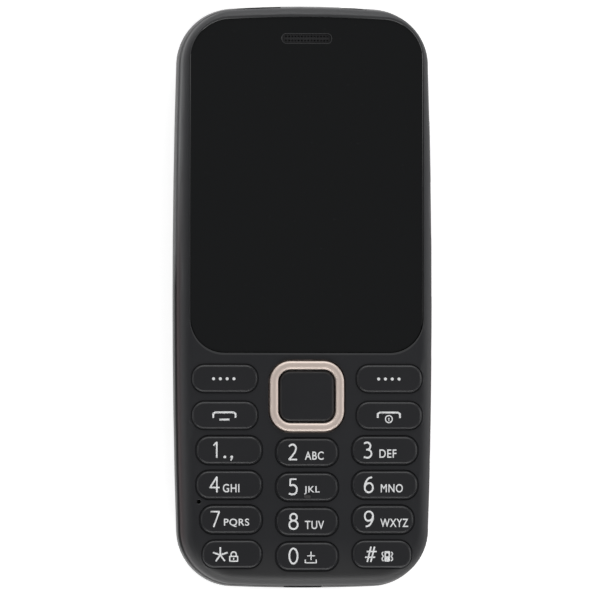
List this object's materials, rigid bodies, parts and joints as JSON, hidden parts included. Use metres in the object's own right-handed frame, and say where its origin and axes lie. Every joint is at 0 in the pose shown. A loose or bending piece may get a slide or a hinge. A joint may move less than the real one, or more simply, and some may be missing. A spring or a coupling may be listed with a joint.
{
  "type": "feature phone",
  "caption": "Slim bar-shaped feature phone: screen over a number keypad with a ring-shaped rocker, lift-off battery cover, jack and charging socket.",
  "frame": {"origin": "under the middle of the phone, on the surface that its back rests on", "axes": "+Z from the back to the screen, +Y along the phone towards the earpiece, +X to the right seen from the front"},
  "size_m": [0.0526, 0.118, 0.014],
  "materials": {
    "front_plastic": "soft matte black, fine moulded grain",
    "rear_plastic": "dark maroon moulded plastic, shows as the line in the seam",
    "cover_plastic": "satin black with fine grain",
    "window_glass": "gloss black, screen off",
    "black_tape": "thin black adhesive tape",
    "mesh_steel": "black pierced plate",
    "bare_steel": "pressed steel",
    "display_glass": "unlit liquid crystal panel",
    "foam": "black foam",
    "flex_film": "amber film",
    "ring_plating": "rose gold plating, satin",
    "white_plastic": "natural white plastic",
    "key_plastic": "soft matte black keys with white markings",
    "silicone": "translucent grey silicone",
    "dome_steel": "stainless domes under clear film",
    "led_plastic": "clear yellow phosphor",
    "board": "green solder mask",
    "camera_glass": "gloss black glass with two clear spots",
    "module_plastic": "black engineering plastic",
    "speaker_body": "black frame and cone",
    "tungsten": "sintered heavy metal",
    "contact_gold": "gold plated springs",
    "can_steel": "tinned sheet steel",
    "battery_label": "printed film, left plain",
    "screw_steel": "black zinc"
  },
  "bodies": {
    "phone": {"front_housing": "front_plastic", "rear_housing": "rear_plastic", "display_window": "window_glass", "window_tape": "black_tape", "earpiece_mesh": "mesh_steel", "earpiece_receiver": "bare_steel", "display_module": "display_glass", "display_gasket": "foam", "display_flex": "flex_film", "keypad_mat": "silicone", "dome_sheet": "dome_steel", "key_lights": "led_plastic", "main_board": "board", "camera_module": "module_plastic", "torch_led": "led_plastic", "loudspeaker": "speaker_body", "vibration_motor": "bare_steel", "headphone_jack": "module_plastic", "charging_socket": "bare_steel", "charging_tongue": "module_plastic", "microphone": "bare_steel", "antenna": "contact_gold", "shield_can": "can_steel", "processor": "module_plastic", "contact_block": "module_plastic", "battery_contacts": "contact_gold", "housing_screws": "screw_steel", "sim_socket_1": "can_steel", "sim_socket_2": "can_steel", "memory_card_socket": "can_steel"},
    "soft_key_left": {"soft_key_left": "key_plastic"},
    "soft_key_right": {"soft_key_right": "key_plastic"},
    "call_key": {"call_key": "key_plastic"},
    "end_key": {"end_key": "key_plastic"},
    "key_1": {"key_1": "key_plastic"},
    "key_2": {"key_2": "key_plastic"},
    "key_3": {"key_3": "key_plastic"},
    "key_4": {"key_4": "key_plastic"},
    "key_5": {"key_5": "key_plastic"},
    "key_6": {"key_6": "key_plastic"},
    "key_7": {"key_7": "key_plastic"},
    "key_8": {"key_8": "key_plastic"},
    "key_9": {"key_9": "key_plastic"},
    "key_star": {"key_star": "key_plastic"},
    "key_0": {"key_0": "key_plastic"},
    "key_hash": {"key_hash": "key_plastic"},
    "nav_key": {"nav_key": "key_plastic"},
    "nav_rocker": {"nav_rocker_plate": "white_plastic"},
    "nav_ring": {"nav_ring": "ring_plating"},
    "battery_cover": {"battery_cover": "cover_plastic", "camera_window": "camera_glass"},
    "battery": {"battery": "battery_label"},
    "motor_weight": {"motor_weight": "tungsten"}
  },
  "joints": [
    {"name": "soft_key_left_press", "type": "slide", "parent": "phone", "child": "soft_key_left", "axis": [0, 0, -1], "range_m": [0, 0.00035], "stiffness_N_per_m": 600, "springref_m": -0.0005},
    {"name": "soft_key_right_press", "type": "slide", "parent": "phone", "child": "soft_key_right", "axis": [0, 0, -1], "range_m": [0, 0.00035], "stiffness_N_per_m": 600, "springref_m": -0.0005},
    {"name": "call_key_press", "type": "slide", "parent": "phone", "child": "call_key", "axis": [0, 0, -1], "range_m": [0, 0.00035], "stiffness_N_per_m": 600, "springref_m": -0.0005},
    {"name": "end_key_press", "type": "slide", "parent": "phone", "child": "end_key", "axis": [0, 0, -1], "range_m": [0, 0.00035], "stiffness_N_per_m": 600, "springref_m": -0.0005},
    {"name": "key_1_press", "type": "slide", "parent": "phone", "child": "key_1", "axis": [0, 0, -1], "range_m": [0, 0.00035], "stiffness_N_per_m": 600, "springref_m": -0.0005},
    {"name": "key_2_press", "type": "slide", "parent": "phone", "child": "key_2", "axis": [0, 0, -1], "range_m": [0, 0.00035], "stiffness_N_per_m": 600, "springref_m": -0.0005},
    {"name": "key_3_press", "type": "slide", "parent": "phone", "child": "key_3", "axis": [0, 0, -1], "range_m": [0, 0.00035], "stiffness_N_per_m": 600, "springref_m": -0.0005},
    {"name": "key_4_press", "type": "slide", "parent": "phone", "child": "key_4", "axis": [0, 0, -1], "range_m": [0, 0.00035], "stiffness_N_per_m": 600, "springref_m": -0.0005},
    {"name": "key_5_press", "type": "slide", "parent": "phone", "child": "key_5", "axis": [0, 0, -1], "range_m": [0, 0.00035], "stiffness_N_per_m": 600, "springref_m": -0.0005},
    {"name": "key_6_press", "type": "slide", "parent": "phone", "child": "key_6", "axis": [0, 0, -1], "range_m": [0, 0.00035], "stiffness_N_per_m": 600, "springref_m": -0.0005},
    {"name": "key_7_press", "type": "slide", "parent": "phone", "child": "key_7", "axis": [0, 0, -1], "range_m": [0, 0.00035], "stiffness_N_per_m": 600, "springref_m": -0.0005},
    {"name": "key_8_press", "type": "slide", "parent": "phone", "child": "key_8", "axis": [0, 0, -1], "range_m": [0, 0.00035], "stiffness_N_per_m": 600, "springref_m": -0.0005},
    {"name": "key_9_press", "type": "slide", "parent": "phone", "child": "key_9", "axis": [0, 0, -1], "range_m": [0, 0.00035], "stiffness_N_per_m": 600, "springref_m": -0.0005},
    {"name": "key_star_press", "type": "slide", "parent": "phone", "child": "key_star", "axis": [0, 0, -1], "range_m": [0, 0.00035], "stiffness_N_per_m": 600, "springref_m": -0.0005},
    {"name": "key_0_press", "type": "slide", "parent": "phone", "child": "key_0", "axis": [0, 0, -1], "range_m": [0, 0.00035], "stiffness_N_per_m": 600, "springref_m": -0.0005},
    {"name": "key_hash_press", "type": "slide", "parent": "phone", "child": "key_hash", "axis": [0, 0, -1], "range_m": [0, 0.00035], "stiffness_N_per_m": 600, "springref_m": -0.0005},
    {"name": "nav_key_press", "type": "slide", "parent": "phone", "child": "nav_key", "axis": [0, 0, -1], "range_m": [0, 0.00035], "stiffness_N_per_m": 600, "springref_m": -0.0005},
    {"name": "nav_rock_up_down", "type": "hinge", "parent": "phone", "child": "nav_rocker", "pos_m": [0, -0.02024, 0.0111], "axis": [1, 0, 0], "range_deg": [-1.5, 1.5], "stiffness_Nm_per_rad": 0.3},
    {"name": "nav_rock_left_right", "type": "hinge", "parent": "nav_rocker", "child": "nav_ring", "pos_m": [0, -0.02024, 0.0111], "axis": [0, 1, 0], "range_deg": [-1.5, 1.5], "stiffness_Nm_per_rad": 0.3},
    {"name": "cover_release", "type": "slide", "parent": "battery_cover", "child": "phone", "axis": [0, 0, 1], "range_m": [0, 0.016]},
    {"name": "battery_lift", "type": "slide", "parent": "phone", "child": "battery", "axis": [0, 0, -1], "range_m": [0, 0.008]},
    {"name": "motor_spin", "type": "hinge", "parent": "phone", "child": "motor_weight", "pos_m": [0.0162, 0.034, 0.0054], "axis": [0, 1, 0], "continuous": true}
  ],
  "couplings": [
    {"joint": "battery_lift", "follows": "cover_release", "ratio": 0.5}
  ]
}
